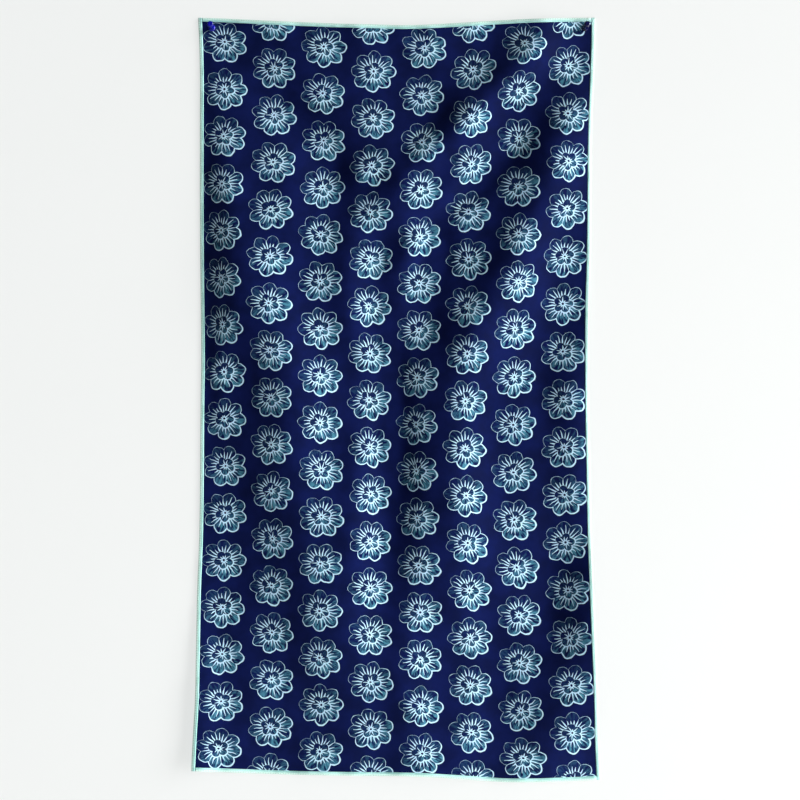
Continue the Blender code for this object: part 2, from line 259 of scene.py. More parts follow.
def small_relief(across, down, x, z):
    """Edge ripples that fade inwards, plus crossed sines for dents, plus rays round each pin."""
    to_side = np.minimum(across, CLOTH_WIDTH - across)
    to_end = np.minimum(down, CLOTH_LENGTH - down)
    relief = waves(EDGE_RIPPLES, down) * np.exp(-((to_side / EDGE_RIPPLE_REACH) ** 2))
    relief += waves(EDGE_RIPPLES, across) * np.exp(-((to_end / EDGE_RIPPLE_REACH) ** 2))
    for per_across, per_down, height, phase in DENTS:
        relief += height * np.sin(2 * np.pi * (per_across * across + per_down * down + phase))
    for side in (-1, 1):
        away = np.hypot(x - side * PIN_SPACING / 2, z)
        turn = np.arctan2(z, x - side * PIN_SPACING / 2)
        ring = ease(PINNED_RADIUS, 2 * PINNED_RADIUS, away) * (1 - ease(*PIN_RAY_FADE, away))
        relief += PIN_RAY_HEIGHT * ring * np.cos(PIN_RAYS * turn)
    return relief


print("highest dent in mm:", round(sum(row[2] for row in DENTS) * 1000, 2))

# %% The hung surface
def face_height(across, down, x, z):
    """Hanging height, plus each fold's bell curve, plus the small relief, drawn in round the pins."""
    below = -z
    height = np.full_like(x, HANGING_HEIGHT)
    for _, stand_out, half_width, rise, fade, line in FOLDS:
        strength = ease(*rise, below) * (1 - ease(*fade, below))
        off_line = (x - smooth_through(line, below)) / half_width
        height += stand_out * strength * np.exp(-(off_line**2))
    over = height + small_relief(across, down, x, z) - PINNED_HEIGHT
    height = PINNED_HEIGHT + (over + np.sqrt(over**2 + WALL_ROUNDING**2)) / 2
    for side in (-1, 1):
        from_pin = np.hypot(x - side * PIN_SPACING / 2, z)
        free = ease(PINNED_RADIUS, RELEASE_RADIUS, from_pin)
        height = PINNED_HEIGHT + (height - PINNED_HEIGHT) * free
    return height


def face_point(across, down):
    """Outline first: top and hem give z, the two sides give x. The face height then gives -y.

    The outline is as the camera sees it. So a point that stands nearer the camera than the pins is
    drawn in towards the middle of the view, by that share of the camera's distance.
    """
    u = across / CLOTH_WIDTH
    v = down / CLOTH_LENGTH
    top = smooth_through(column(TOP_AND_HEM, 1), u)
    hem = -smooth_through(column(TOP_AND_HEM, 2), u)
    z = top * (1 - v) + hem * v
    left = -smooth_through(column(SIDE_EDGES, 1), -z)
    right = smooth_through(column(SIDE_EDGES, 2), -z)
    x = left * (1 - u) + right * u
    height = face_height(across, down, x, z)
    drawn_in = 1 - (height - PINNED_HEIGHT) / CAMERA_TO_PINS
    x = CAMERA_RIGHT_OF_PINS + (x - CAMERA_RIGHT_OF_PINS) * drawn_in
    z = (z + CAMERA_BELOW_PINS) * drawn_in - CAMERA_BELOW_PINS
    return np.stack([x, -height, z], axis=-1)


CHORD_REACH = 0.001


def face_normal(across, down):
    """The cross product of two short chords, turned to point out of the face."""
    chord_across = face_point(across + CHORD_REACH, down) - face_point(across - CHORD_REACH, down)
    chord_down = face_point(across, down + CHORD_REACH) - face_point(across, down - CHORD_REACH)
    normal = unit(np.cross(chord_down, chord_across))
    return normal * np.where(normal[..., 1:2] > 0, -1, 1)


def cloth_point(across, down, above):
    """A point of the hung cloth, lifted along its normal from the middle of its thickness."""
    lift = (above - SHEET_THICK / 2)[..., None]
    return face_point(across, down) + face_normal(across, down) * lift


middle = face_point(np.array(CLOTH_WIDTH / 2), np.array(CLOTH_LENGTH / 2))
print("middle of the cloth:", np.round(middle, 3).tolist())

# %% [markdown]
# A mesh from a grid
#
# Every surface in this lesson is a grid of points: rows by columns. Neighbouring points make quads,
# and a grid that closes on itself, such as a tube, simply wraps its columns round. One helper turns
# any such grid into an object, with extra numbers stored on its points for the shaders to read.

# %% Grids to meshes
def grid_quads(rows, columns, wrap=False, flip=False):
    """Indices of the quads of a rows by columns grid. wrap joins the last column to the first."""
    strips = columns if wrap else columns - 1
    row, left = np.meshgrid(np.arange(rows - 1), np.arange(strips), indexing="ij")
    right = (left + 1) % columns
    above = row * columns
    below = (row + 1) * columns
    corners = [above + left, below + left, below + right, above + right]
    quads = np.stack([corner.ravel() for corner in corners], axis=-1)
    return quads[:, ::-1] if flip else quads


def surface_object(name, points, quads, numbers=None):
    """A smooth mesh object from points and quads. numbers maps names to a vector for each point."""
    mesh = bpy.data.meshes.new(name)
    mesh.vertices.add(len(points))
    mesh.vertices.foreach_set("co", points.astype(np.float32).ravel())
    mesh.loops.add(quads.size)
    mesh.loops.foreach_set("vertex_index", quads.astype(np.int32).ravel())
    mesh.polygons.add(len(quads))
    mesh.polygons.foreach_set("loop_start", np.arange(0, quads.size, quads.shape[1], dtype=np.int32))
    for label, values in (numbers or {}).items():
        layer = mesh.attributes.new(label, "FLOAT_VECTOR", "POINT")
        layer.data.foreach_set("vector", values.astype(np.float32).ravel())
    mesh.update(calc_edges=True)
    mesh.validate()
    mesh.shade_smooth()
    made = bpy.data.objects.new(name, mesh)
    bpy.context.collection.objects.link(made)
    print(f"{name}: {len(points)} points, {len(quads)} quads")
    return made


print("a grid of 3 by 4 points has", len(grid_quads(3, 4)), "quads")

# %% [markdown]
# The cloth
#
# The towel's face and back are the same grid, a cloth's thickness apart, joined round the rim. The
# print has to follow the cloth, so each point keeps its place on the flat cloth. The folds use up
# width: along each row the flat place is shared out by the length along the folded cloth, which is
# what makes a print look narrower on the slope of a fold.

# %% Cloth sheet
SHEET_COLUMNS = 131
SHEET_ROWS = 241
RIM_INSET = 0.0006


def length_shares(points):
    """Running length along each row of points, as a share from 0 to 1."""
    steps = np.linalg.norm(np.diff(points, axis=1), axis=-1)
    run = np.concatenate([np.zeros((len(points), 1)), np.cumsum(steps, axis=1)], axis=1)
    return run / run[:, -1:]


def rim_quads(rows, columns, to_back):
    """Quads between the front grid's outer edge and the back grid's, once round."""
    index = np.arange(rows * columns).reshape(rows, columns)
    loop = np.concatenate([index[0], index[1:, -1], index[-1, -2::-1], index[-2:0:-1, 0]])
    after = np.roll(loop, -1)
    return np.stack([loop, after, after + to_back, loop + to_back], axis=-1)


def build_cloth():
    """Front and back grids at plus and minus half the thickness, and the rim that closes them."""
    run_across = np.linspace(RIM_INSET, CLOTH_WIDTH - RIM_INSET, SHEET_COLUMNS)
    run_down = np.linspace(RIM_INSET, CLOTH_LENGTH - RIM_INSET, SHEET_ROWS)
    across, down = np.meshgrid(run_across, run_down)
    half = np.full_like(across, SHEET_THICK / 2)
    front = cloth_point(across, down, half)
    back = cloth_point(across, down, -half)
    flat = np.stack([length_shares(front) * CLOTH_WIDTH, CLOTH_LENGTH - down, half * 0], axis=-1)
    is_back = np.concatenate([np.zeros(across.size), np.ones(across.size)])
    quads = np.concatenate([
        grid_quads(*across.shape),
        grid_quads(*across.shape, flip=True) + across.size,
        rim_quads(*across.shape, across.size),
    ])
    numbers = {
        "flat": np.concatenate([flat.reshape(-1, 3)] * 2),
        "side": np.repeat(is_back[:, None], 3, axis=1),
    }
    points = np.concatenate([front.reshape(-1, 3), back.reshape(-1, 3)])
    return surface_object("towel_cloth", points, quads, numbers)


towel_cloth = build_cloth()

# %% [markdown]
# The overlocked edge
#
# An overlocker trims the cloth and wraps its edge in thread as it goes. Two looper threads zigzag,
# one over the face and one over the back, and lock together on the very edge. A needle thread runs
# along their inner turns. Under the loops lies a bed of fluffy thread that hides the cut. So a run
# of edging is a channel-shaped bed and three long tubes, each a section carried along a path.

# %% Sizes of the edging
EDGING_WIDTH = 0.0045
# The bed's inner and outer skin, in metres from the middle of the cloth's thickness.
BED_INNER = 0.0005
BED_OUTER = 0.00078
NOSE_LENGTH = 0.0010
STITCH = 0.0030
LOOP_WIDTH = 0.00125
LOOP_HEIGHT = 0.00052
# How far a loop reaches in from the edge, how far it leans along it, and how round its turns are.
LOOP_REACH = 0.0039
LOOP_LEAN = 0.0010
LOOP_ROUNDNESS = 0.8
# A loop's middle lies above the bed by this share of its height, so the rest sinks into the fluff.
LOOP_PROUD = 0.35
NEEDLE_THREAD_WIDTH = 0.00060
NEEDLE_THREAD_HEIGHT = 0.00042
# The needle thread's rise over the bed and its dip at each hole, in loop heights.
NEEDLE_RISE = 0.75
NEEDLE_DIP = 0.70
POINTS_PER_LOOP = 10
POINTS_PER_NEEDLE_STITCH = 5
THREAD_SIDES = 6
THREAD_ANGLES = 2 * np.pi * np.arange(THREAD_SIDES) / THREAD_SIDES


def nose_height(inward, height):
    """A quarter ellipse at the edge, then level.

    The height is multiplied by the root of (1 less the square of (1 less share)).
    """
    share = np.clip(inward / NOSE_LENGTH, 0, 1)
    return height * np.sqrt(1 - (1 - share) ** 2)


# How a run lies on the flat cloth: metres along it and in from its edge give metres across and down.
RUNS = {
    "left": lambda along, inward: (inward, along),
    "right": lambda along, inward: (CLOTH_WIDTH - inward, along),
    "top": lambda along, inward: (along, inward),
    "hem": lambda along, inward: (along, CLOTH_LENGTH - inward),
}
RUN_SPANS = {
    "left": (0.0, CLOTH_LENGTH),
    "right": (0.0, CLOTH_LENGTH),
    "top": (EDGING_WIDTH, CLOTH_WIDTH - EDGING_WIDTH),
    "hem": (EDGING_WIDTH, CLOTH_WIDTH - EDGING_WIDTH),
}
print(f"{CLOTH_LENGTH / STITCH:.0f} stitches down a side")

# %% The bed of thread
BED_POINTS = 11
BED_STEP = 0.004
# Above 1, this power crowds the section's points towards the edge, where it is round.
BED_CROWDING = 1.6


def bed_section():
    """Outer then inner path of the channel, as (inward, above): level, round the nose, and back."""
    inward = EDGING_WIDTH * np.linspace(1, 0, BED_POINTS) ** BED_CROWDING
    outer = np.stack([inward, nose_height(inward, BED_OUTER)], axis=-1)
    inner = np.stack([np.maximum(inward, RIM_INSET / 2), np.full(BED_POINTS, BED_INNER)], axis=-1)
    inner[0, 0] = outer[0, 0] = EDGING_WIDTH
    flip = np.array([1, -1])
    return np.concatenate([outer, outer[-2::-1] * flip, inner * flip, inner[::-1]])


def build_bed(run):
    """The section at even steps along the run; quads between its two paths close each end."""
    start, end = RUN_SPANS[run]
    along = np.linspace(start, end, int((end - start) / BED_STEP) + 1)
    section = bed_section()
    along_grid, inward = np.meshgrid(along, section[:, 0], indexing="ij")
    across, down = RUNS[run](along_grid, inward)
    points = cloth_point(across, down, np.broadcast_to(section[:, 1], across.shape))
    rings, count = across.shape
    walls = grid_quads(rings, count, wrap=True)
    half = len(section) // 2
    i = np.arange(half)
    cap = np.stack([i, i + 1, count - 2 - i, count - 1 - i], axis=-1)[: half - 1]
    last = (rings - 1) * count
    return points.reshape(-1, 3), np.concatenate([walls, cap, cap[:, ::-1] + last])


bed_points, bed_quads = build_bed("top")
print("bed of the top run:", bed_points.shape, bed_quads.shape)

# %% The threads
def thread_tube(path, up, width, height):
    """An oval of six points carried along a path, kept level with the cloth by its normal.

    Two quads close the hexagon at each end.
    """
    forward = unit(np.gradient(path, axis=0))
    sideways = unit(np.cross(forward, up))
    upright = np.cross(sideways, forward)
    ring = np.cos(THREAD_ANGLES)[:, None] * sideways[:, None] * width / 2
    ring = ring + np.sin(THREAD_ANGLES)[:, None] * upright[:, None] * height / 2
    points = (path[:, None] + ring).reshape(-1, 3)
    start_caps = np.array([(3, 2, 1, 0), (5, 4, 3, 0)])
    end_caps = np.array([(0, 1, 2, 3), (0, 3, 4, 5)]) + (len(path) - 1) * THREAD_SIDES
    walls = grid_quads(len(path), THREAD_SIDES, wrap=True)
    return points, np.concatenate([walls, start_caps, end_caps])


def looper_path(run, face):
    """Inward swings between the needle line and the edge as a cosine; the height rounds the nose."""
    start, end = RUN_SPANS[run]
    stitches = int((end - start - 2 * LOOP_WIDTH) / STITCH)
    turn = np.linspace(0, stitches, stitches * POINTS_PER_LOOP + 1) + (0.0 if face > 0 else 0.5)
    swing = (1 + np.cos(2 * np.pi * turn)) / 2
    inward = LOOP_REACH * swing**LOOP_ROUNDNESS
    along = start + LOOP_WIDTH + STITCH * turn + LOOP_LEAN * (swing - 0.5)
    along = np.clip(along, start + LOOP_WIDTH / 2, end - LOOP_WIDTH / 2)
    above = face * nose_height(inward + NOSE_LENGTH / 8, BED_OUTER + LOOP_HEIGHT * LOOP_PROUD)
    across, down = RUNS[run](along, inward)
    return cloth_point(across, down, above), face_normal(across, down)


def needle_path(run):
    """A line along the loops' inner turns that dips where the needle went through."""
    start, end = RUN_SPANS[run]
    count = int((end - start) / STITCH) * POINTS_PER_NEEDLE_STITCH
    along = np.linspace(start + LOOP_WIDTH / 2, end - LOOP_WIDTH / 2, count)
    dip = (1 + np.cos(2 * np.pi * (along - start) / STITCH)) / 2
    above = BED_OUTER + LOOP_HEIGHT * (NEEDLE_RISE - NEEDLE_DIP * dip**3)
    across, down = RUNS[run](along, np.full_like(along, LOOP_REACH - NEEDLE_THREAD_WIDTH / 2))
    return cloth_point(across, down, above), face_normal(across, down)


print("stitches in the top run:", len(looper_path("top", 1)[0]) // POINTS_PER_LOOP)

# %% A whole run of edging
def as_seen(points):
    """Undoes the drawing in of face_point, so that x and z compare with the outline's tables."""
    x, y, z = points.T
    drawn_in = 1 + (y + PINNED_HEIGHT) / CAMERA_TO_PINS
    seen_x = CAMERA_RIGHT_OF_PINS + (x - CAMERA_RIGHT_OF_PINS) / drawn_in
    return seen_x, (z + CAMERA_BELOW_PINS) / drawn_in - CAMERA_BELOW_PINS


def shape_inward(run, points):
    """How far in from the run's edge each point lies in the hung towel, as a share of the width."""
    x, z = as_seen(points)
    if run in ("left", "right"):
        side = 1 if run == "left" else 2
        edge = smooth_through(column(SIDE_EDGES, side), -z)
        inward = edge + x if run == "left" else edge - x
    else:
        share = np.clip(x / CLOTH_WIDTH + 0.5, 0, 1)
        edge = smooth_through(column(TOP_AND_HEM, 1 if run == "top" else 2), share)
        inward = edge - z if run == "top" else edge + z
    return np.clip(inward / EDGING_WIDTH, 0, 1)


def build_edging(run):
    """Bed, face looper, back looper and needle thread of one run, joined into one piece."""
    shapes = [
        build_bed(run),
        thread_tube(*looper_path(run, 1), LOOP_WIDTH, LOOP_HEIGHT),
        thread_tube(*looper_path(run, -1), LOOP_WIDTH, LOOP_HEIGHT),
        thread_tube(*needle_path(run), NEEDLE_THREAD_WIDTH, NEEDLE_THREAD_HEIGHT),
    ]
    starts = np.cumsum([0] + [len(points) for points, _ in shapes])
    quads = np.concatenate([quads + start for (_, quads), start in zip(shapes, starts)])
    points = np.concatenate([points for points, _ in shapes])
    on_top = (np.arange(len(points)) >= starts[1]).astype(float)
    inward = np.concatenate([shape_inward(run, points) for points, _ in shapes])
    numbers = {"strand": np.stack([on_top, inward, np.zeros_like(inward)], axis=-1)}
    return surface_object(f"overlock_{run}", points, quads, numbers)


overlock = {run: build_edging(run) for run in RUNS}

# %% [markdown]
# The push pins
#
# A push pin's head is a solid of revolution, so its surface needs only an outline and an angle. The
# outline is the CAD table, read as a smooth curve so that the collar and grip are round-edged.

# %% Pin heads
HEAD_GAP = 0.0003
HEAD_BACK = -(PINNED_HEIGHT + HEAD_GAP)
# The head's outline: (radius, distance in front of the collar's back face).
PIN_HEAD = (
    (0.0006, 0.0000),
    (0.0038, 0.0000),
    (0.0041, 0.0004),
    (0.0040, 0.0014),
    (0.0034, 0.0020),
    (0.0028, 0.0034),
    (0.0027, 0.0052),
    (0.0029, 0.0082),
    (0.0033, 0.0094),
    (0.0036, 0.0102),
    (0.0034, 0.0112),
    (0.0026, 0.0118),
    (0.0000, 0.0118),
)
HEAD_RINGS = 72
HEAD_SIDES = 64
SAME_POINT = 1e-7


def weld(piece):
    """Merges the points that meet at a pole, and turns every face outwards."""
    shape = bmesh.new()
    shape.from_mesh(piece.data)
    bmesh.ops.remove_doubles(shape, verts=shape.verts, dist=SAME_POINT)
    bmesh.ops.recalc_face_normals(shape, faces=shape.faces)
    shape.to_mesh(piece.data)
    shape.free()
    piece.data.shade_smooth()


def build_pin_head(name, side):
    """Radius and distance along the outline's own length; the angle turns them round the needle."""
    radius, forward = np.array(PIN_HEAD).T
    length = np.concatenate([[0], np.cumsum(np.hypot(np.diff(radius), np.diff(forward)))])
    at = np.linspace(0, length[-1], HEAD_RINGS)
    radius = np.maximum(smooth_through(list(zip(length, radius)), at), 0)
    radius[0] = radius[-1] = 0
    forward = smooth_through(list(zip(length, forward)), at)
    angle = 2 * np.pi * np.arange(HEAD_SIDES) / HEAD_SIDES
    x = side * PIN_SPACING / 2 + radius[:, None] * np.cos(angle)
    y = np.broadcast_to((HEAD_BACK - forward)[:, None], x.shape)
    z = radius[:, None] * np.sin(angle)
    points = np.stack([x, y, z], axis=-1).reshape(-1, 3)
    made = surface_object(name, points, grid_quads(HEAD_RINGS, HEAD_SIDES, wrap=True))
    weld(made)
    return made


pin_left = build_pin_head("push_pin_left", -1)
pin_right = build_pin_head("push_pin_right", 1)

# %% [markdown]
# Sums in a shader
#
# A printed pattern can be a picture, or it can be worked out for every point of the cloth. Working it
# out keeps every line sharp at any distance, and needs no file. It takes many Math nodes, so a small
# class lets a node's output be added, multiplied and compared like a number.

# %% Node arithmetic
class Flow:
    """A number or vector flowing through a node tree."""

    def __init__(self, tree, socket):
        self.tree = tree
        self.socket = socket

    def calc(self, operation, *others):
        node = self.tree.nodes.new("ShaderNodeMath")
        node.operation = operation
        for slot, value in zip(node.inputs, (self, *others)):
            join(self.tree, slot, value)
        return Flow(self.tree, node.outputs[0])

    def __add__(self, other):
        return self.calc("ADD", other)

    def __sub__(self, other):
        return self.calc("SUBTRACT", other)

    def __mul__(self, other):
        return self.calc("MULTIPLY", other)

    def __truediv__(self, other):
        return self.calc("DIVIDE", other)

    def inverse(self):
        """1 less this number."""
        return (self * -1) + 1

    def parts(self):
        """The x, y and z of a vector."""
        node = self.tree.nodes.new("ShaderNodeSeparateXYZ")
        join(self.tree, node.inputs[0], self)
        return [Flow(self.tree, out) for out in node.outputs]


def join(tree, slot, value):
    """Links a Flow to a socket, or sets the socket to a plain number or colour."""
    if isinstance(value, Flow):
        tree.links.new(value.socket, slot)
    else:
        slot.default_value = value


print("a Flow has", [name for name in vars(Flow) if name[0] != "_"])

# %% Ranges, colours and noise
def step_between(value, low, high):
    """0 below low, 1 above high, smooth between."""
    node = value.tree.nodes.new("ShaderNodeMapRange")
    node.interpolation_type = "SMOOTHSTEP"
    for slot, number in zip(node.inputs[:5], (value, low, high, 0.0, 1.0)):
        join(value.tree, slot, number)
    return Flow(value.tree, node.outputs[0])


def vector(x, y, z=0.0):
    """One vector from three numbers."""
    node = x.tree.nodes.new("ShaderNodeCombineXYZ")
    for slot, number in zip(node.inputs, (x, y, z)):
        join(x.tree, slot, number)
    return Flow(x.tree, node.outputs[0])


def between(share, low, high):
    """A number that goes from low to high as share goes from 0 to 1."""
    return share * (high - low) + low


# Where a Mix node keeps its share and its two colours, and the colour that it gives.
MIX_INPUTS = (0, 6, 7)
MIX_OUTPUT = 2


def blend(tree, share, first, second):
    """A colour that goes from first to second as share goes from 0 to 1."""
    node = tree.nodes.new("ShaderNodeMix")
    node.data_type = "RGBA"
    for index, value in zip(MIX_INPUTS, (share, first, second)):
        join(tree, node.inputs[index], value)
    return Flow(tree, node.outputs[MIX_OUTPUT])


def noise(place, scale, detail=2.0):
    """Smooth noise, with an average of about a half, at so many lumps a metre."""
    node = place.tree.nodes.new("ShaderNodeTexNoise")
    node.inputs["Scale"].default_value = scale
    node.inputs["Detail"].default_value = detail
    join(place.tree, node.inputs["Vector"], place)
    return Flow(place.tree, node.outputs["Fac"])


def chance(x, y):
    """A random number from 0 to 1 that is the same wherever x and y are the same."""
    node = x.tree.nodes.new("ShaderNodeTexWhiteNoise")
    node.noise_dimensions = "3D"
    join(x.tree, node.inputs["Vector"], vector(x, y))
    return Flow(x.tree, node.outputs["Value"])


print("helpers for ranges, colours and noise ready")

# %% Node groups
def new_group(name, inputs, outputs):
    """An empty node group. inputs and outputs map socket names to socket types."""
    group = bpy.data.node_groups.new(name, "ShaderNodeTree")
    for label, kind in inputs.items():
        group.interface.new_socket(label, in_out="INPUT", socket_type=kind)
    for label, kind in outputs.items():
        group.interface.new_socket(label, in_out="OUTPUT", socket_type=kind)
    entry = group.nodes.new("NodeGroupInput")
    leave = group.nodes.new("NodeGroupOutput")
    return group, {label: Flow(group, entry.outputs[label]) for label in inputs}, leave


def use_group(tree, group, **values):
    """A group placed in a tree with its own values, giving its outputs by name."""
    node = tree.nodes.new("ShaderNodeGroup")
    node.node_tree = group
    for label, value in values.items():
        join(tree, node.inputs[label], value)
    return {out.name: Flow(tree, out) for out in node.outputs}


NUMBER = "NodeSocketFloat"
VECTOR = "NodeSocketVector"
print("helpers for node groups ready")

# %% [markdown]
# The print
#
# The print is one hand-drawn bloom, repeated. The cloth is divided into tall cells, and every second
# column drops by half a cell, which textile printers call a half-drop. Inside a cell the place is
# turned into a radius and an angle. The angle is folded into equal wedges, one for each petal, so a
# single oval and a few ribs draw a whole ring of petals. Two rings overlap, as in a real bloom.
# Noise shakes the lines and makes them swell and thin, because a hand with a pen does.

# %% Half-drop cells
BLOOM_COLUMNS = 8
BLOOM_ROWS = 16
BLOOM_ACROSS = CLOTH_WIDTH / BLOOM_COLUMNS
BLOOM_DOWN = CLOTH_LENGTH / BLOOM_ROWS
# A bloom is a little wider than tall.
BLOOM_RADIUS = 0.0262
BLOOM_HALF_WIDTH = BLOOM_RADIUS * 1.06
BLOOM_HALF_HEIGHT = BLOOM_RADIUS * 0.95
# How far noise shakes the drawing, in metres, and its lumps a metre, across and down.
WOBBLE = 0.0030
WOBBLE_SCALES = (95.0, 110.0)


def bloom_cells(flat):
    """Place within the cell in bloom radii, and the cell's column and row."""
    x, y, _ = flat.parts()
    col = (x / BLOOM_ACROSS).calc("FLOOR")
    dropped = y + (col * 0.5).calc("FRACT") * BLOOM_DOWN
    row = (dropped / BLOOM_DOWN).calc("FLOOR")
    shake = [(noise(flat, scale, detail=1.0) - 0.5) * WOBBLE for scale in WOBBLE_SCALES]
    local_x = x - (col + 0.5) * BLOOM_ACROSS + shake[0]
    local_y = dropped - (row + 0.5) * BLOOM_DOWN + shake[1]
    return local_x / BLOOM_HALF_WIDTH, local_y / BLOOM_HALF_HEIGHT, col, row


print(f"blooms {BLOOM_ACROSS * 1000:.0f} mm apart across and {BLOOM_DOWN * 1000:.0f} mm down")

# %% Rings of petals
# Each ring, in bloom radii: petals, the oval's centre, its half length and half width, ribs in a
# petal, where its ribs begin and the least length they reach, and how much wash it takes.
PETAL_RINGS = (
    (5, 0.25, 0.200, 0.185, 2, 0.12, 0.16, 0.80),
    (8, 0.60, 0.385, 0.300, 3, 0.46, 0.60, 0.95),
)
# In bloom radii: the soft rim of a pen line, the half width of a rib at its tip, what it gains
# towards its foot, the length over which its tip fades, and how much longer some ribs are.
PEN_SOFT_RIM = 0.014
RIB_TIP = 0.002
RIB_FOOT = 0.017
RIB_FADE = 0.02
RIB_SPREAD = 0.24


def petal_oval(radius, angle, petals, centre, long_half, wide_half):
    """Folds the angle into wedges. Gives the oval's level, 1 on its outline, and the wedge."""
    wedge = 2 * math.pi / petals
    number = (angle / wedge).calc("ROUND")
    folded = angle - number * wedge
    outward = (radius * folded.calc("COSINE") - centre) / long_half
    sideways = radius * folded.calc("SINE") / wide_half
    level = (outward * outward + sideways * sideways).calc("SQRT")
    return level, folded, number


def pen_line(off, half_width):
    """1 within half_width of a line, fading to 0 over the soft rim."""
    return step_between(off, half_width + PEN_SOFT_RIM, half_width)


def rib_lines(radius, folded, seed, wedge, ribs, begin, reach):
    """Even spokes in a wedge, each with its own length, tapering from its foot to a point."""
    gap = wedge / ribs
    number = ((folded + gap / 2) / gap).calc("ROUND")
    off = ((folded + gap / 2) - number * gap).calc("ABSOLUTE") * radius
    end = chance(seed, number) * RIB_SPREAD + reach
    taper = step_between(radius, end, begin)
    return pen_line(off, taper * RIB_FOOT + RIB_TIP) * step_between(radius, end, end - RIB_FADE)


print(len(PETAL_RINGS), "rings of petals")

# %% Pen and brush
# The pen presses harder on one side of a bloom. Half widths of its line in bloom radii: the least,
# which is below 0 so that the soft rim alone is left, what that side adds, and what chance adds.
PEN_LEAST = -0.012
PEN_PRESSED = 0.026
PEN_SWELL = 0.018
# The pressed side, as a turn in radians.
PRESSED_SIDE = 0.9
PRESSED_REACH = (-0.6, 1.0)
# The small ring in the middle: its radius, its half width, and how far out it hides the petals.
RING_RADIUS = 0.070
RING_PEN = 0.008
RING_COVER = 0.085
# How far each ring is turned, in radians for each of its petals.
TURN_PER_PETAL = 0.13
# A petal's rim is soft over this share of its size, and the petals behind it start this far out.
RIM_SOFT = 0.02
RIM_GAP = 0.06
# Brush strokes run outwards: noise with many lumps round the bloom and few along a petal.
STROKES_ROUND = 5.0
STROKES_ALONG = 1.6
STROKE_SCALE = 1.7
STROKE_EDGE = (0.40, 0.66)
# The least share of a stroke on the side of a bloom that isn't pressed.
STROKE_LEAST = 0.15
# Steps for each column and row that give every bloom its own strokes and its own ribs.
STROKE_STEPS = (3.7, 1.3)
RIB_STEPS = (17.0, 5.0)
# The least ink that a dry pen leaves, and its noise: lumps a metre, and where it dries and wets.
DRY_INK = 0.70
DRY_SCALE = 900.0
DRY_EDGE = (0.28, 0.44)
SWELL_SCALE = 170.0

widest_pen = 2 * (PEN_LEAST + PEN_PRESSED + PEN_SWELL + PEN_SOFT_RIM) * BLOOM_RADIUS
print(f"widest pen line {widest_pen * 1000:.1f} mm")

# %% One bloom
def own_number(col, row, steps):
    """A number that differs from bloom to bloom."""
    return col * steps[0] + row * steps[1]


def build_bloom_group():
    """Masks for the ink lines and for the brushed wash of the whole print."""
    group, given, leave = new_group(
        "hand-drawn bloom", {"Flat": VECTOR}, {"Line": NUMBER, "Wash": NUMBER}
    )
    flat = given["Flat"]
    x, y, col, row = bloom_cells(flat)
    radius = (x * x + y * y).calc("SQRT")
    compass = y.calc("ARCTAN2", x)
    turned = compass + chance(col, row) * (2 * math.pi) + 4 * math.pi
    shaded = step_between((compass + PRESSED_SIDE).calc("COSINE"), *PRESSED_REACH)
    swell = noise(flat, SWELL_SCALE, detail=1.0)
    layer = own_number(col, row, STROKE_STEPS)
    strokes = vector(turned * STROKES_ROUND, radius * STROKES_ALONG, layer)
    brush = step_between(noise(strokes, STROKE_SCALE, detail=3.0), *STROKE_EDGE)
    streak = brush * between(shaded, STROKE_LEAST, 1.0)
    weight = shaded * PEN_PRESSED + swell * PEN_SWELL + PEN_LEAST

    line = pen_line((radius - RING_RADIUS).calc("ABSOLUTE"), RING_PEN)
    wash = radius * 0
    cover = step_between(radius, RING_COVER, RING_RADIUS).inverse()
    for petals, centre, long_half, wide_half, ribs, begin, reach, washed in PETAL_RINGS:
        angle = turned + petals * TURN_PER_PETAL
        level, folded, number = petal_oval(radius, angle, petals, centre, long_half, wide_half)
        inside = step_between(level, 1 + RIM_SOFT, 1 - RIM_SOFT)
        off = (level - 1).calc("ABSOLUTE") * ((long_half + wide_half) / 2)
        seed = number + own_number(col, row, RIB_STEPS)
        spokes = rib_lines(radius, folded, seed, 2 * math.pi / petals, ribs, begin, reach)
        drawn = pen_line(off, weight).calc("MAXIMUM", spokes * inside) * cover
        line = line.calc("MAXIMUM", drawn)
        wash = wash.calc("MAXIMUM", inside * cover * streak * washed)
        cover = cover * step_between(level, 1 + RIM_GAP, 1 + RIM_SOFT).inverse()

    dry = between(step_between(noise(flat, DRY_SCALE, detail=3.0), *DRY_EDGE), DRY_INK, 1)
    join(group, leave.inputs["Line"], line * dry)
    join(group, leave.inputs["Wash"], wash)
    return group


bloom_group = build_bloom_group()
print("print group nodes:", len(bloom_group.nodes))

# %% [markdown]
# Weave and uneven colour
#
# Up close the cloth is a fine plain weave, and no dyed or moulded thing has quite one colour. Both are
# small node groups with a few named inputs, so the cloth, the thread, the plastic and the wall can
# each use them with their own values.

# %% Groups for weave and mottle
# The mottle's noise has fine lumps on its large ones, and is stretched so that it reaches 0 and 1.
MOTTLE_DETAIL = 4.0
MOTTLE_EDGE = (0.3, 0.7)


def build_weave_group():
    """Height is a sine across times a sine down, made positive. Threads is the count in a metre."""
    group, given, leave = new_group(
        "plain weave", {"Flat": VECTOR, "Threads": NUMBER}, {"Height": NUMBER}
    )
    x, y, _ = given["Flat"].parts()
    turns = given["Threads"] * math.pi
    over = (x * turns).calc("SINE") * (y * turns).calc("SINE")
    join(group, leave.inputs["Height"], over * 0.5 + 0.5)
    return group


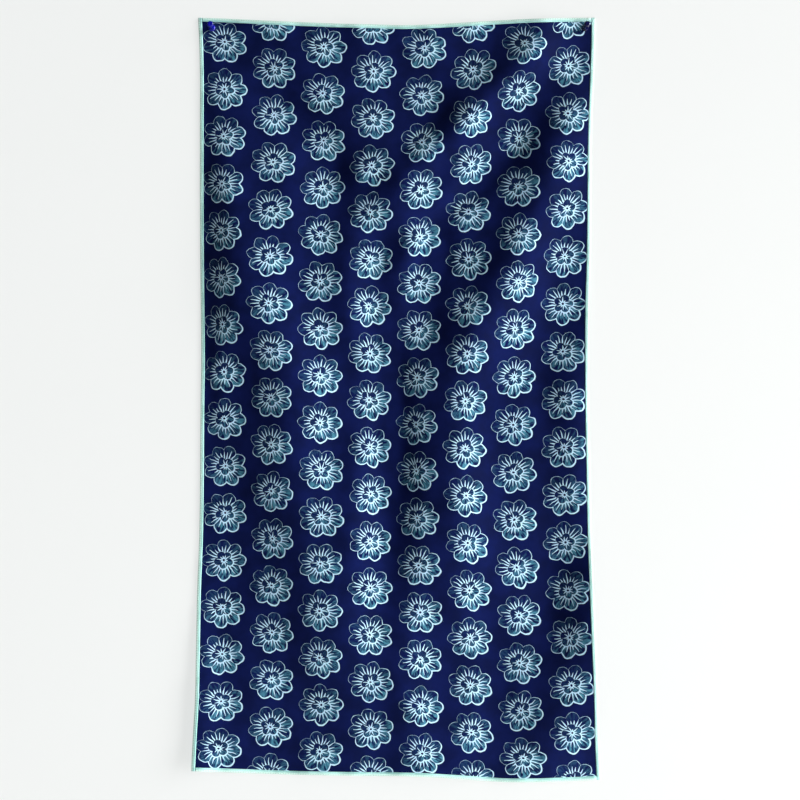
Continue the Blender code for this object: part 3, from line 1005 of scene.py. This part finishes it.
def build_mottle_group():
    """Shade wanders softly between 0 and 1. Scale is in lumps a metre."""
    group, given, leave = new_group("mottle", {"Place": VECTOR, "Scale": NUMBER}, {"Shade": NUMBER})
    node = group.nodes.new("ShaderNodeTexNoise")
    node.inputs["Detail"].default_value = MOTTLE_DETAIL
    join(group, node.inputs["Vector"], given["Place"])
    join(group, node.inputs["Scale"], given["Scale"])
    shade = step_between(Flow(group, node.outputs["Fac"]), *MOTTLE_EDGE)
    join(group, leave.inputs["Shade"], shade)
    return group


weave_group = build_weave_group()
mottle_group = build_mottle_group()
print("groups:", [group.name for group in bpy.data.node_groups])

# %% [markdown]
# Finishes
#
# Each finish is one Principled shader. Numbers that are the same all over, such as sheen, are typed
# straight into it. Colour, roughness and relief change from place to place, so they come from noise
# and from the groups above. What all finishes need is written once, here.

# %% Material helpers
def new_finish(name, **settings):
    """A material, its Principled shader, and its tree. settings are typed into the shader."""
    made = bpy.data.materials.new(name)
    made.use_nodes = True
    shader = made.node_tree.nodes["Principled BSDF"]
    for label, value in settings.items():
        shader.inputs[label.replace("_", " ")].default_value = value
    return made, shader, made.node_tree


def stored(tree, label):
    """The numbers that the mesh stores on its points under that name."""
    node = tree.nodes.new("ShaderNodeAttribute")
    node.attribute_name = label
    return Flow(tree, node.outputs["Vector"])


def object_place(tree):
    """Metres in the object's own frame."""
    return Flow(tree, tree.nodes.new("ShaderNodeTexCoord").outputs["Object"])


def relief(tree, shader, height, depth, strength):
    """A bump of that depth in metres, from a height between 0 and 1."""
    node = tree.nodes.new("ShaderNodeBump")
    node.inputs["Distance"].default_value = depth
    node.inputs["Strength"].default_value = strength
    join(tree, node.inputs["Height"], height)
    join(tree, shader.inputs["Normal"], Flow(tree, node.outputs["Normal"]))


def wear(piece, finish):
    """Gives a piece one finish."""
    piece.data.materials.clear()
    piece.data.materials.append(finish)
    print(f"{piece.name} wears {finish.name}")


print("helpers for finishes ready")

# %% [markdown]
# The printed cloth
#
# Thin sports cloth is matt. Its print is laid on the face, and only shows through a little on the
# back. A picture could be wrapped over it, but the bloom group draws sharper lines and needs no file.
# The shader reads the place that each point has on the flat cloth, so the print bends with every
# fold. The colours go on in the printer's order: ground, wash, ink, and at last a veil for the back.

# %% Printed cloth
NAVY_DEEP = (0.0018, 0.0049, 0.041, 1.0)
NAVY = (0.0034, 0.0078, 0.066, 1.0)
TEAL = (0.080, 0.290, 0.390, 1.0)
AQUA = (0.560, 0.860, 0.930, 1.0)
LAVENDER = (0.420, 0.580, 0.820, 1.0)
NAVY_REVERSE = (0.020, 0.026, 0.105, 1.0)
SHEEN_BLUE = (0.35, 0.45, 1.0, 1.0)
THREADS_PER_METRE = 1700.0
WEAVE_DEPTH = 0.00012
WEAVE_STRENGTH = 0.5
CLOTH_ROUGHNESS = (0.74, 0.84)
# How strong the wash is, and how much of the print the cloth hides on its back.
WASH_STRENGTH = 0.80
REVERSE_COVER = 0.84
# Lumps a metre in the colour of the ground and of the ink.
GROUND_LUMPS = 38.0
INK_LUMPS = 60.0


def build_printed_cloth():
    """Navy ground, teal wash, pale ink, and a reverse where the print only just shows through."""
    finish, shader, tree = new_finish("printed cloth", Sheen_Weight=0.015, Sheen_Roughness=0.5)
    shader.inputs["Sheen Tint"].default_value = SHEEN_BLUE
    shader.inputs["Specular IOR Level"].default_value = 0.04
    flat = stored(tree, "flat")
    is_back, _, _ = stored(tree, "side").parts()
    shade = use_group(tree, mottle_group, Place=flat, Scale=GROUND_LUMPS)["Shade"]
    printed = use_group(tree, bloom_group, Flat=flat)
    ground = blend(tree, shade, NAVY_DEEP, NAVY)
    washed = blend(tree, printed["Wash"] * WASH_STRENGTH, ground, TEAL)
    ink = blend(tree, noise(flat, INK_LUMPS), LAVENDER, AQUA)
    drawn = blend(tree, printed["Line"], washed, ink)
    colour = blend(tree, is_back * REVERSE_COVER, drawn, NAVY_REVERSE)
    join(tree, shader.inputs["Base Color"], colour)
    join(tree, shader.inputs["Roughness"], between(shade, *CLOTH_ROUGHNESS))
    weave = use_group(tree, weave_group, Flat=flat, Threads=THREADS_PER_METRE)["Height"]
    relief(tree, shader, weave, WEAVE_DEPTH, WEAVE_STRENGTH)
    return finish


wear(towel_cloth, build_printed_cloth())

# %% [markdown]
# The mint thread
#
# Overlock thread is spun loosely, so that it fluffs up and covers the cut. Where its loops lie close
# it looks mint. On the very edge it is paler: partly because the loops fray there, and partly as
# painted light that brightens the rounded edge where it turns away from the lamps. Real hairs could
# be grown on it, but at this size they would only cost time, so a fine bump stands for them. Each
# point stores how far in from the edge it lies, and the colours follow that.

# %% Mint thread
MINT_FLUFF = (0.500, 0.720, 0.650, 1.0)
MINT_SHADY = (0.235, 0.540, 0.500, 1.0)
MINT = (0.400, 0.755, 0.710, 1.0)
MINT_PALE = (0.480, 0.810, 0.780, 1.0)
# The very edge: frayed fuzz, and painted light where the rounded edge turns away from the lamps.
MINT_FRAYED_AND_PAINTED_LIGHT = (0.700, 0.940, 0.840, 1.0)
# Shares of the edging's width: where the fluff turns to mint, and where the loops stop fraying
# and the painted light on the edge fades out.
CLOSE_LOOPS = (0.26, 0.46)
FRAYING_AND_PAINTED_LIGHT = (0.75, 0.15)
# How far the bed turns to mint there, how far the loops turn pale by closeness and by mottle, and how
# far they turn to the frayed colour, which is partly painted light on the edge.
BED_MINT = 0.85
PALE_BY_CLOSENESS = 0.6
PALE_BY_MOTTLE = 0.4
FRAYED_AND_PAINTED_LIGHT_SHARE = 0.9
# The darker drifts: the part of the mottle that they take, and how dark they are.
DRIFT_EDGE = (0.35, 0.75)
DRIFT_SHARE = 0.7
# Lumps a metre in the thread's colour, in its drifts, and in its fluff.
THREAD_LUMPS = 420.0
DRIFT_LUMPS = 45.0
FLUFF_LUMPS = 3500.0
FLUFF_DEPTH = 0.00010
FLUFF_STRENGTH = 0.4
THREAD_ROUGHNESS = (0.55, 0.70)


def build_mint_thread():
    """Fluff under the loops, mint on them with darker drifts, and paler on the edge: fraying and
    painted light.
    """
    finish, shader, tree = new_finish("mint thread", Sheen_Weight=0.15, Sheen_Roughness=0.4)
    place = object_place(tree)
    on_top, inward, _ = stored(tree, "strand").parts()
    shade = use_group(tree, mottle_group, Place=place, Scale=THREAD_LUMPS)["Shade"]
    close = step_between(inward, *CLOSE_LOOPS)
    bed = blend(tree, close * BED_MINT, MINT_FLUFF, MINT)
    pale = close * PALE_BY_CLOSENESS + shade * PALE_BY_MOTTLE
    loops = blend(tree, pale, MINT, MINT_PALE)
    drift = use_group(tree, mottle_group, Place=place, Scale=DRIFT_LUMPS)["Shade"]
    loops = blend(tree, step_between(drift, *DRIFT_EDGE) * DRIFT_SHARE, loops, MINT_SHADY)
    # The edge turns pale: the loops fray there, and painted light brightens it where it faces away
    # from the lamps.
    loops = blend(tree, step_between(inward, *FRAYING_AND_PAINTED_LIGHT) * FRAYED_AND_PAINTED_LIGHT_SHARE, loops, MINT_FRAYED_AND_PAINTED_LIGHT)
    join(tree, shader.inputs["Base Color"], blend(tree, on_top, bed, loops))
    join(tree, shader.inputs["Roughness"], between(shade, *THREAD_ROUGHNESS))
    relief(tree, shader, noise(place, FLUFF_LUMPS), FLUFF_DEPTH, FLUFF_STRENGTH)
    return finish


mint_thread = build_mint_thread()
for piece in overlock.values():
    wear(piece, mint_thread)

# %% [markdown]
# The pins' plastic and steel
#
# The heads are moulded plastic, one bright blue and one nearly black, and the needles are drawn wire.
# One plain colour would do at this size, but it looks dead close up. So the plastic's colour swims a
# little under a clear coat, and the steel has fine scratches along the wire. The needles keep the
# CAD model's own meshes, because hardly any of a needle can be seen.

# %% Plastic and steel
# Each finish goes from its first colour to its second.
ULTRAMARINE = ((0.002, 0.002, 0.170, 1.0), (0.004, 0.004, 0.360, 1.0))
MIDNIGHT = ((0.002, 0.002, 0.022, 1.0), (0.004, 0.005, 0.060, 1.0))
STEEL = ((0.500, 0.500, 0.520, 1.0), (0.720, 0.720, 0.740, 1.0))
PLASTIC_ROUGHNESS = (0.12, 0.18)
STEEL_ROUGHNESS = (0.2, 0.4)
# Lumps a metre in the plastic's colour and in its skin, and how deep the skin's lumps are.
PLASTIC_LUMPS = 260.0
SKIN_LUMPS = 1200.0
SKIN_DEPTH = 0.00004
SKIN_STRENGTH = 0.15
# Scratches in a metre of width. They are this many times longer than they are wide.
SCRATCHES = 6000.0
SCRATCH_STRETCH = 20.0


def build_plastic(name, deep, light):
    """Glossy moulded plastic whose colour swims a little, under a clear skin."""
    finish, shader, tree = new_finish(name, Coat_Weight=0.6, Coat_Roughness=0.04)
    shader.inputs["Specular IOR Level"].default_value = 0.25
    place = object_place(tree)
    shade = use_group(tree, mottle_group, Place=place, Scale=PLASTIC_LUMPS)["Shade"]
    join(tree, shader.inputs["Base Color"], blend(tree, shade, deep, light))
    join(tree, shader.inputs["Roughness"], between(shade, *PLASTIC_ROUGHNESS))
    relief(tree, shader, noise(place, SKIN_LUMPS, detail=1.0), SKIN_DEPTH, SKIN_STRENGTH)
    return finish


def build_steel():
    """Bright drawn wire: scratches are noise that is stretched along the needle."""
    finish, shader, tree = new_finish("needle steel", Metallic=1.0)
    x, y, z = object_place(tree).parts()
    scratch = noise(vector(x, y * (1 / SCRATCH_STRETCH), z), SCRATCHES)
    join(tree, shader.inputs["Base Color"], blend(tree, scratch, *STEEL))
    join(tree, shader.inputs["Roughness"], between(scratch, *STEEL_ROUGHNESS))
    return finish


wear(pin_left, build_plastic("ultramarine plastic", *ULTRAMARINE))
wear(pin_right, build_plastic("midnight plastic", *MIDNIGHT))
needle_steel = build_steel()
for side in ("left", "right"):
    wear(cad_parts[f"pin_needle_{side}"], needle_steel)

# %% [markdown]
# Riding on the frame
#
# The CAD solids stay in the physics model. Each dressed piece rides on the one rigid body, and the
# CAD nodes that it stands for are hidden.

# %% Fasten the pieces
def fasten(piece, slot, *nodes):
    """Rides on the body and hides the CAD nodes that the piece stands for. slot is not used."""
    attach(piece, "root")
    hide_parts(*nodes)


fasten(towel_cloth, "printed_cloth", "cloth_panel")
for run, piece in overlock.items():
    fasten(piece, "mint_thread", f"edging_{run}")
fasten(pin_left, "blue_plastic", "pin_head_left")
fasten(pin_right, "blue_plastic", "pin_head_right")
print("pieces fastened")

# %% [markdown]
# The stage
#
# The towel hangs on one wall of a plain pale room, and that wall catches its soft shadow. The walls
# glow a little, which keeps the shadow as pale as it is in the photo. Each wall shows only its inner
# face, so the back of the towel can be seen from behind, and no wall casts a shadow. The towel's own
# wall also throws light back on the edges of the cloth. The others are only there to be seen.

# %% Sizes and paint of the room
WALL_HALF_WIDTH = 3.0
WALL_TOP = 2.0
FLOOR_LEVEL = -1.8
ROOM_DEPTH = 4.0
WALL_GREY = (0.190, 0.194, 0.192, 1.0)
WALL_GLOW = 3.60
FLOOR_PALE = (0.80, 0.80, 0.79, 1.0)
# How dark the paint's mottle gets, as a share of its colour.
MOTTLE_SHARE = 0.97
PAINT_LUMPS = 2.5


def flat_stage(name, corners):
    """A single quad that is scenery."""
    made = surface_object(name, np.array(corners, float), np.array([(0, 1, 2, 3)]))
    return made


def build_paint(name, colour, glow=0.0, one_way=False):
    """Matt paint, lit a little from within. A one-way wall lets the eye through from behind."""
    finish, shader, tree = new_finish(name, Roughness=0.9, Emission_Strength=glow)
    shader.inputs["Emission Color"].default_value = colour
    place = object_place(tree)
    shade = use_group(tree, mottle_group, Place=place, Scale=PAINT_LUMPS)["Shade"]
    darker = tuple(MOTTLE_SHARE * channel for channel in colour[:3]) + (1.0,)
    join(tree, shader.inputs["Base Color"], blend(tree, shade, darker, colour))
    if one_way:
        clear = tree.nodes.new("ShaderNodeBsdfTransparent")
        choose = tree.nodes.new("ShaderNodeMixShader")
        behind = tree.nodes.new("ShaderNodeNewGeometry").outputs["Backfacing"]
        tree.links.new(behind, choose.inputs[0])
        tree.links.new(shader.outputs[0], choose.inputs[1])
        tree.links.new(clear.outputs[0], choose.inputs[2])
        tree.links.new(choose.outputs[0], tree.nodes["Material Output"].inputs[0])
    return finish


print(f"room {2 * WALL_HALF_WIDTH:.0f} m wide and {ROOM_DEPTH:.0f} m deep")

# %% Walls and floor
wall_paint = build_paint("wall paint", WALL_GREY, glow=WALL_GLOW, one_way=True)
ROOM_CORNERS = (
    (-WALL_HALF_WIDTH, 0),
    (WALL_HALF_WIDTH, 0),
    (WALL_HALF_WIDTH, -ROOM_DEPTH),
    (-WALL_HALF_WIDTH, -ROOM_DEPTH),
)
for number, name in enumerate(("wall", "right wall", "far wall", "left wall")):
    start = ROOM_CORNERS[number]
    end = ROOM_CORNERS[(number + 1) % len(ROOM_CORNERS)]
    wall = flat_stage(name, [
        (*start, FLOOR_LEVEL),
        (*end, FLOOR_LEVEL),
        (*end, WALL_TOP),
        (*start, WALL_TOP),
    ])
    wear(wall, wall_paint)
    wall.visible_shadow = False
    wall.visible_diffuse = (name == "wall")
    wall.visible_glossy = False
floor = flat_stage("floor", [
    (-WALL_HALF_WIDTH, -ROOM_DEPTH, FLOOR_LEVEL),
    (WALL_HALF_WIDTH, -ROOM_DEPTH, FLOOR_LEVEL),
    (WALL_HALF_WIDTH, ROOM_DEPTH, FLOOR_LEVEL),
    (-WALL_HALF_WIDTH, ROOM_DEPTH, FLOOR_LEVEL),
])
wear(floor, build_paint("floor paint", FLOOR_PALE))

# %% [markdown]
# The light
#
# In the photo daylight comes along the wall from the right. Folds read as bright where they face it
# and dark where they turn away, so the key light stands well to the side. It is a sun lamp with a
# very wide disc: as soft as a window, yet as bright at one end of the wall as at the other. A soft
# box stands for the window's near end, so that the cloth grows a little brighter down to the right.
# Another lights the back of the cloth.

# %% Lights
KEY_FROM_FRONT = math.radians(70)
KEY_UP = math.radians(18)
KEY_DISC = math.radians(36)
KEY_STRENGTH = 4.4
KEY_AWAY = 3.0
AIM = mathutils.Vector((0.0, 0.0, -0.45))
# Each soft box: its place, the side of its square in metres, and its watts.
SOFT_BOXES = {
    "near end of the window": ((1.5, -1.0, -1.0), 1.0, 30.0),
    "behind": ((-0.8, 2.2, 0.4), 1.2, 34.0),
}
SKY_COLOUR = (0.95, 0.97, 1.0, 1.0)
SKY_STRENGTH = 0.09


def aim_lamp(data, place):
    """Puts a lamp in the scene, turned so that it looks at the middle of the towel."""
    lamp = bpy.data.objects.new(data.name, data)
    bpy.context.collection.objects.link(lamp)
    lamp.location = place
    lamp.rotation_euler = (AIM - lamp.location).to_track_quat("-Z", "Y").to_euler()


def soft_box(name, place, size, watts):
    """A square area light."""
    data = bpy.data.lights.new(name, "AREA")
    data.size = size
    data.energy = watts
    aim_lamp(data, place)


key = bpy.data.lights.new("window on the right", "SUN")
key.energy = KEY_STRENGTH
key.angle = KEY_DISC
key_way = (math.sin(KEY_FROM_FRONT), -math.cos(KEY_FROM_FRONT), math.tan(KEY_UP))
aim_lamp(key, AIM + mathutils.Vector(key_way) * KEY_AWAY)
for name, settings in SOFT_BOXES.items():
    soft_box(name, *settings)
room = bpy.data.worlds.new("room")
bpy.context.scene.world = room
room.use_nodes = True
room.node_tree.nodes["Background"].inputs["Color"].default_value = SKY_COLOUR
room.node_tree.nodes["Background"].inputs["Strength"].default_value = SKY_STRENGTH
bpy.context.scene.view_settings.view_transform = "Standard"
print(f"key light {math.degrees(KEY_FROM_FRONT):.0f} degrees from the front")

# %% [markdown]
# The size to keep
#
# The dressed towel has to keep the size of the CAD model.
